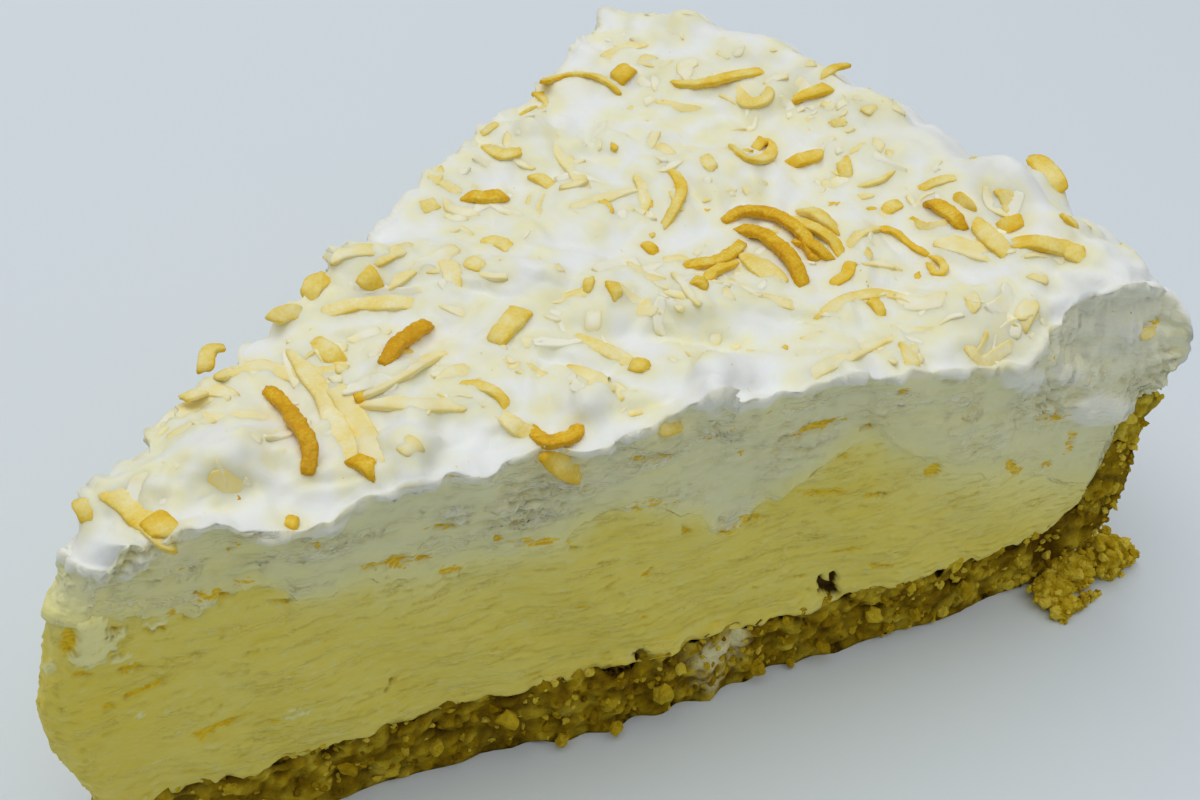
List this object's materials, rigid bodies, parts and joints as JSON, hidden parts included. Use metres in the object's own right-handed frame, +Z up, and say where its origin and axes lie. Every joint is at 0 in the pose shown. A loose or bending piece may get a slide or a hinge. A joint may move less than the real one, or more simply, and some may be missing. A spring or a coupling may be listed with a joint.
{
  "type": "coconut cream pie slice",
  "caption": "Wedge slice of coconut cream pie with a crumb crust, a custard layer and whipped cream with toasted coconut, resting flat on its base.",
  "frame": {"origin": "centre of the bounding box footprint, on the underside of the crust", "axes": "+X from the tip of the slice to the crust wall, +Y from the near cut face to the far cut face, +Z up"},
  "size_m": [0.1198, 0.0857, 0.045],
  "materials": {
    "crust": "matte, granular baked crumbs",
    "custard": "satin, soft set custard",
    "whipped_cream": "soft satin whipped cream",
    "toasted_coconut": "satin, shreds toasted from pale to brown"
  },
  "bodies": {
    "root": {"crust": "crust", "custard": "custard", "whipped_cream": "whipped_cream"}
  },
  "joints": []
}
